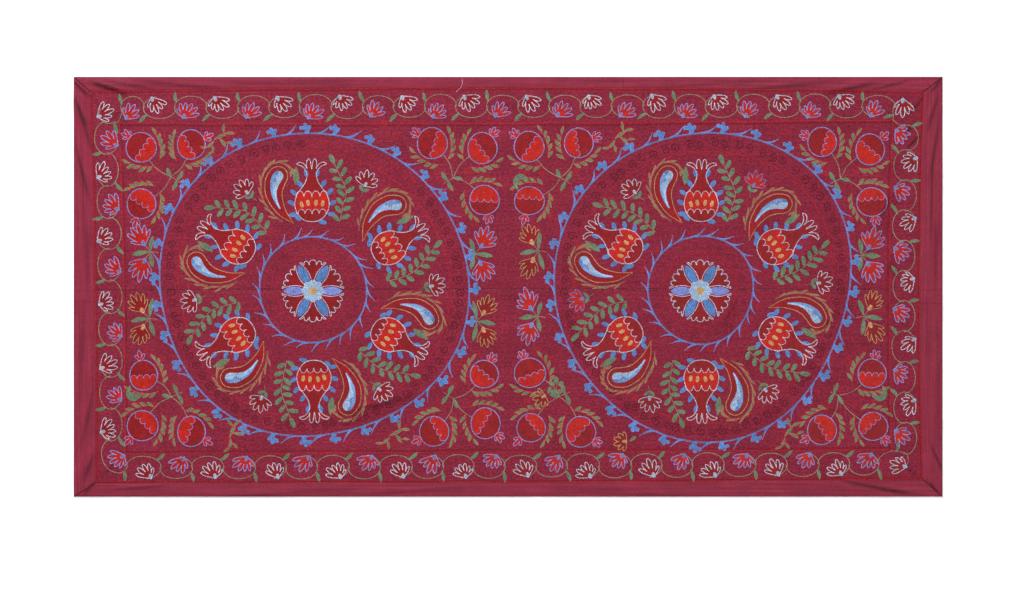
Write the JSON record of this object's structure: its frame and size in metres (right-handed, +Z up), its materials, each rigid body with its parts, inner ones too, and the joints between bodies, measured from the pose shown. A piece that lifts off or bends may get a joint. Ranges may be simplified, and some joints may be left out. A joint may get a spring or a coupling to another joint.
{
  "type": "suzani embroidered textile",
  "caption": "Long suzani hanging or table cover laid flat: a joined maroon ground worked with medallions, pomegranates and a flowering vine, framed by plain mitred strips.",
  "frame": {"origin": "middle of the underside of the cloth as it lies face up", "axes": "+X along the long side, +Y towards the top edge of the design, +Z up out of the embroidered face"},
  "size_m": [2.2, 1.063, 0.0059],
  "materials": {
    "maroon_ground": "matt plain-weave silk and cotton, embroidered in silk chain stitch",
    "maroon_strip": "softly lustrous fine warp-faced silk and cotton, unworked",
    "silk_red": "loosely twisted silk embroidery thread, scarlet, crimson, wine and rust",
    "silk_blue": "loosely twisted silk embroidery thread, mid blue and periwinkle",
    "silk_pale": "loosely twisted silk embroidery thread, lilac white and pale blue",
    "silk_green": "loosely twisted silk embroidery thread, leaf green and olive",
    "silk_gold": "loosely twisted silk embroidery thread, old gold"
  },
  "bodies": {
    "root": {"ground_upper": "maroon_ground", "ground_lower": "maroon_ground", "border_top": "maroon_strip", "border_bottom": "maroon_strip", "border_left": "maroon_strip", "border_right": "maroon_strip"}
  },
  "joints": []
}
